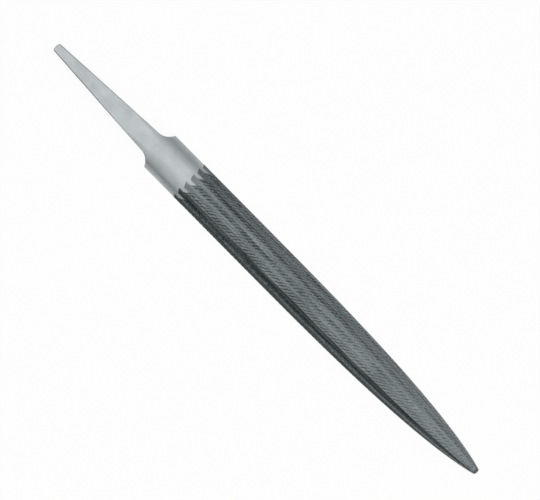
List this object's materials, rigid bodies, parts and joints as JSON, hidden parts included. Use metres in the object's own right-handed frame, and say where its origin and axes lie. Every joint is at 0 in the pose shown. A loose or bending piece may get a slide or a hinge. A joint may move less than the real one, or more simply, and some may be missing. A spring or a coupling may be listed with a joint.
{
  "type": "half round file",
  "caption": "Half round hand file in one piece: a narrow tapering tang, a bare ground heel, and a blade with a flat side and a round back, cut with teeth in rows and curving in to a rounded point.",
  "frame": {"origin": "middle of the whole length and width, on the plane of the flat side", "axes": "+X along the file towards the point, +Z out of the round back, +Y across the blade"},
  "size_m": [0.265, 0.0198, 0.006],
  "materials": {
    "cut_steel": "file teeth cut into hardened tool steel, dark grey and fairly dull",
    "ground_steel": "ground tool steel, pale grey satin, on the tang and the bare heel"
  },
  "bodies": {
    "root": {"file_blade": "cut_steel"}
  },
  "joints": []
}
